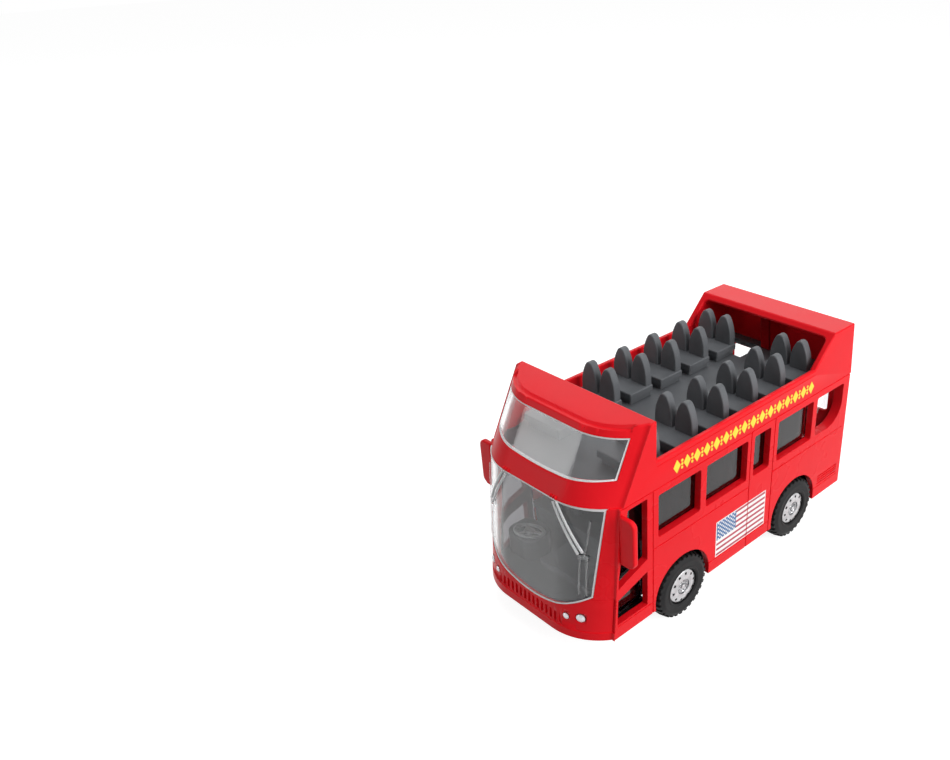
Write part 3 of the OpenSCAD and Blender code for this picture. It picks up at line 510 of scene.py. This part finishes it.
def stand_on_side(shape, side, proud):
    """Gives a flat drawing its thickness and stands it on one side of the bus."""
    raised = bmesh.ops.extrude_face_region(shape, geom=shape.faces[:], use_keep_orig=True)["geom"]
    bmesh.ops.translate(shape, vec=(0, 0, proud + ink_sunk),
                        verts=[item for item in raised if isinstance(item, bmesh.types.BMVert)])
    stand = Matrix(((1, 0, 0, 0), (0, 0, side, side * (side_face - ink_sunk)), (0, 1, 0, 0), (0, 0, 0, 1)))
    bmesh.ops.transform(shape, matrix=stand, verts=shape.verts)
    bmesh.ops.recalc_face_normals(shape, faces=shape.faces)
    return shape


white_ink = moulded_finish("white_ink", (0.86, 0.84, 0.83), (0.92, 0.90, 0.89), (0.4, 0.5),
                           cloud_mm=3, grain_mm=0.25, grain_depth=0.004)
plum_ink = moulded_finish("plum_ink", (0.36, 0.010, 0.040), (0.44, 0.016, 0.055), (0.4, 0.5),
                          cloud_mm=2, grain_mm=0.25, grain_depth=0.004)
blue_ink = moulded_finish("blue_ink", (0.035, 0.12, 0.29), (0.05, 0.16, 0.36), (0.4, 0.5),
                          cloud_mm=2, grain_mm=0.25, grain_depth=0.004)
flag_x = (-16.65 * mm, 8.65 * mm)
flag_z = (13.6 * mm, 27.0 * mm)
flag_margin = 0.35 * mm
stripe_h = 0.82 * mm
stripe_pitch = 1.98 * mm
stripe_count = 7
stripe_tops = [flag_z[1] - flag_margin - row * stripe_pitch for row in range(stripe_count)]
field_x = (-1.25 * mm, flag_x[1] - flag_margin)
field_low = stripe_tops[3] - stripe_h
door_line = (-7.42 * mm, -7.03 * mm)
star_rows, star_columns = 9, 6
star_r = 0.34 * mm
star_corners = 10
star_proud = ink_proud + 0.02 * mm
for side, word in ((1, "left"), (-1, "right")):
    flag = flat_sheet(*flag_x, *flag_z)
    for z in [edge for top in stripe_tops for edge in (top, top - stripe_h)]:
        bmesh.ops.bisect_plane(flag, geom=flag.verts[:] + flag.edges[:] + flag.faces[:],
                               plane_co=(0, z, 0), plane_no=(0, 1, 0))
    for x in (*door_line, *field_x, flag_x[0] + flag_margin):
        bmesh.ops.bisect_plane(flag, geom=flag.verts[:] + flag.edges[:] + flag.faces[:],
                               plane_co=(x, 0, 0), plane_no=(1, 0, 0))
    for face in flag.faces:
        x, z, _ = face.calc_center_median()
        inside = flag_x[0] + flag_margin < x < field_x[1]
        in_field = field_x[0] < x < field_x[1] and field_low < z < stripe_tops[0]
        on_stripe = any(top - stripe_h < z < top for top in stripe_tops)
        face.material_index = 2 if in_field else 1 if inside and on_stripe else 0
    parted = [face for face in flag.faces if door_line[0] < face.calc_center_median().x < door_line[1]]
    bmesh.ops.delete(flag, geom=parted, context="FACES")
    add_piece(stand_on_side(flag, side, ink_proud), f"{word}_flag", "bus",
              (white_ink, plum_ink, blue_ink))
    stars = bmesh.new()
    for row in range(star_rows):
        shift = row % 2
        for column in range(star_columns - shift):
            x = field_x[0] + (column + 0.5 + shift / 2) * (field_x[1] - field_x[0]) / star_columns
            z = field_low + (row + 0.5) * (stripe_tops[0] - field_low) / star_rows
            add_dot(stars, x, z, star_r, star_r, star_corners, 0)
    add_piece(stand_on_side(stars, side, star_proud), f"{word}_flag_dots", "bus", white_ink)

# Ornament row: yellow lozenges and dots over amber shading, pad-printed along the band of the
# upper shell on both sides.
yellow_ink = moulded_finish("yellow_ink", (0.92, 0.66, 0.03), (0.98, 0.76, 0.05), (0.4, 0.5),
                            cloud_mm=3, grain_mm=0.25, grain_depth=0.004)
amber_ink = moulded_finish("amber_ink", (0.55, 0.15, 0.008), (0.66, 0.20, 0.012), (0.4, 0.5),
                           cloud_mm=3, grain_mm=0.25, grain_depth=0.004)
row_x = (-40.25 * mm, 29.85 * mm)
row_z = 56.45 * mm
motif_count = 16
motif_pitch = (row_x[1] - row_x[0]) / motif_count
lozenge = Vector((1.5, 2.2)) * mm
dot_rises = (-1.15 * mm, 0, 1.15 * mm)
dot_r = 0.46 * mm
dot_corners = 12
shade_shift = Vector((-0.16, -0.16)) * mm
for side, word in ((1, "left"), (-1, "right")):
    for ink, layer, offset, proud in ((amber_ink, "shade", shade_shift, 0.03 * mm),
                                      (yellow_ink, "row", Vector((0, 0)), 0.06 * mm)):
        drawing = bmesh.new()
        for motif in range(motif_count):
            x = row_x[0] + (motif + 0.5) * motif_pitch + offset.x
            z = row_z + offset.y
            add_dot(drawing, x, z, lozenge.x, lozenge.y, 4, 0)
            if motif < motif_count - 1:
                for rise in dot_rises:
                    add_dot(drawing, x + motif_pitch / 2, z + rise, dot_r, dot_r, dot_corners, 0)
        add_piece(stand_on_side(drawing, side, proud), f"{word}_ornament_{layer}", "bus", ink)

# Base: a matt black moulding with the bearings of both axles, held to the posts of the lower
# tray by four cross-head screws from below.
black_plastic = moulded_finish("black_plastic", (0.013, 0.013, 0.014), (0.020, 0.020, 0.021), (0.5, 0.62),
                               cloud_mm=10, grain_mm=0.6, grain_depth=0.01)
add_piece(merged_copy("chassis"), "base", "bus", black_plastic, ("chassis",), radius=0.3 * mm)
steel = moulded_finish("axle_steel", (0.45, 0.46, 0.48), (0.58, 0.59, 0.61), (0.3, 0.42),
                       cloud_mm=4, grain_mm=0.3, grain_depth=0.002)
steel.node_tree.nodes["Principled BSDF"].inputs["Metallic"].default_value = 1.0
base_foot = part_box("chassis")[0].z
screw_profile = [(0, 0.3), (1.5, 0.3), (1.5, -0.05), (1.3, -0.25), (0.5, -0.3), (0.35, 0.1), (0, 0.1)]
screw_out = 14
screws = []
for x in (2.75, -12.22):
    for y in (-screw_out, screw_out):
        head = turned(screw_profile, steps=24)
        bmesh.ops.translate(head, vec=(x * mm, y * mm, base_foot), verts=head.verts)
        screws.append(head)
add_piece(gather(screws), "base_screws", "bus", steel)

# Wheels: plated hubs with a ring of hand holes and wheel nuts, pressed on steel wire axles, and
# soft black tyres with staggered lugs stretched over them.
chrome = moulded_finish("hub_chrome", (0.40, 0.40, 0.41), (0.58, 0.58, 0.59), (0.2, 0.32),
                        cloud_mm=2, grain_mm=0.5, grain_depth=0.01)
chrome.node_tree.nodes["Principled BSDF"].inputs["Metallic"].default_value = 1.0
# The hand holes' walls and floors are painted near black as painted shade in the recesses.
hole_painted_shade = moulded_finish("hand_hole_painted_shade", (0.012, 0.012, 0.013), (0.03, 0.03, 0.032), (0.5, 0.6),
                           cloud_mm=1, grain_mm=0.3, grain_depth=0.004)
rubber = moulded_finish("tyre_rubber", (0.006, 0.006, 0.0065), (0.011, 0.011, 0.0115), (0.5, 0.65),
                        cloud_mm=5, grain_mm=0.4, grain_depth=0.012)
rubber.node_tree.nodes["Principled BSDF"].inputs["Specular IOR Level"].default_value = 0.2
hub_profile = [(0, -0.12), (0.5, -0.16), (0.8, -0.3), (0.92, -0.95), (1.1, -1.05), (2.35, -1.05), (2.5, -0.9),
               (2.62, -0.3), (2.85, -0.18), (3.3, -0.18), (3.8, -0.23), (4.15, -0.28), (5.05, -0.46), (5.4, -0.58),
               (5.7, -0.75), (5.87, -0.92), (5.98, -1.2), (5.98, -7), (1.29, -7), (1.29, -3.2), (0, -3.2)]
hub_steps = 60
hole_ring = (4.15 * mm, 5.05 * mm)
hole_every = 6
hole_faces = 2
hole_rim = 0.07 * mm
hole_depth = 0.7 * mm
nut_ring = 1.78 * mm
nut_count = 8
nut_height = -0.8 * mm
tyre_profile = [(6.03, -7.9), (6.03, -0.4), (6.3, -0.14), (6.5, 0), (6.9, 0), (7.05, -0.12), (8.4, -0.08), (8.6, 0),
                (9.0, -0.02), (9.2, -0.14), (10.1, -0.6), (10.6, -2.7), (10.6, -5.3), (10.1, -7.4), (9.2, -7.84),
                (6.4, -8)]
tyre_r = 11.15 * mm
tyre_steps = 60
tread_r = 10.15 * mm
shoulder_r = 10.3 * mm
shoulder_drop = 0.45 * mm
lug_rows = ((0, -2.7), (-2.7, -5.3), (-5.3, -7.4))


def wheel_hub():
    """One hub in its own frame, outer face up: dish, hand holes and nuts."""
    shape = turned(hub_profile, hub_steps)
    step = 2 * math.pi / hub_steps
    holes = []
    for face in shape.faces:
        middle = face.calc_center_median()
        turn_index = int((math.atan2(middle.y, middle.x) % (2 * math.pi)) / step)
        in_ring = hole_ring[0] < middle.xy.length < hole_ring[1] and middle.z > -2 * mm
        if in_ring and turn_index % hole_every < hole_faces:
            holes.append(face)
    halved = [edge for edge in shape.edges if all(face in holes for face in edge.link_faces)]
    bmesh.ops.dissolve_edges(shape, edges=halved)
    holes = [face for face in shape.faces if len(face.verts) > 4]
    bmesh.ops.inset_individual(shape, faces=holes, thickness=hole_rim, depth=0)
    sunk = bmesh.ops.extrude_discrete_faces(shape, faces=holes)["faces"]
    bmesh.ops.translate(shape, vec=(0, 0, -hole_depth),
                        verts=list({vert for face in sunk for vert in face.verts}))
    for face in sunk:
        for edge in face.edges:
            for wall in edge.link_faces:
                wall.material_index = 1
    for nut in range(nut_count):
        angle = 2 * math.pi * (nut + 0.5) / nut_count
        made = bmesh.ops.create_cone(shape, cap_ends=True, segments=6, radius1=0.38 * mm, radius2=0.28 * mm,
                                     depth=0.7 * mm)["verts"]
        spot = Vector((nut_ring * math.cos(angle), nut_ring * math.sin(angle), nut_height))
        bmesh.ops.translate(shape, vec=spot, verts=made)
    return shape


def wheel_tyre():
    """One tyre in its own frame, outer face up: sidewall beads and three staggered rows of lugs."""
    shape = turned(tyre_profile, tyre_steps, closed=True)
    step = 2 * math.pi / tyre_steps
    lugs = []
    for face in shape.faces:
        middle = face.calc_center_median()
        turn_index = int((math.atan2(middle.y, middle.x) % (2 * math.pi)) / step)
        for row, (row_high, row_low) in enumerate(lug_rows):
            in_row = row_low * mm < middle.z < row_high * mm and middle.xy.length > tread_r
            if in_row and (turn_index + row) % 2 == 0:
                lugs.append(face)
    raised = bmesh.ops.extrude_discrete_faces(shape, faces=lugs)["faces"]
    for vert in {vert for face in raised for vert in face.verts}:
        at_shoulder = vert.co.xy.length < shoulder_r
        vert.co.xy *= (tyre_r - (shoulder_drop if at_shoulder else 0)) / vert.co.xy.length
    return shape


for end in ("front", "rear"):
    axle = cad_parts[f"{end}_axle"]
    axle.data.materials.clear()
    axle.data.materials.append(steel)
    for side, word in ((1, "left"), (-1, "right")):
        low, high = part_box(f"{end}_{word}_tyre")
        seat = Vector(((low.x + high.x) / 2, high.y if side > 0 else low.y, (low.z + high.z) / 2))
        stand = Matrix.Translation(seat) @ Matrix.Rotation(math.radians(-90 * side), 4, "X")
        hub, tyre = wheel_hub(), wheel_tyre()
        bmesh.ops.transform(hub, matrix=stand, verts=hub.verts)
        bmesh.ops.transform(tyre, matrix=stand, verts=tyre.verts)
        add_piece(hub, f"{end}_{word}_wheel_hub", f"{end}_wheels", (chrome, hole_painted_shade),
                  (f"{end}_{word}_hub",))
        add_piece(tyre, f"{end}_{word}_wheel_tyre", f"{end}_wheels", rubber,
                  (f"{end}_{word}_tyre",), radius=0.12 * mm)
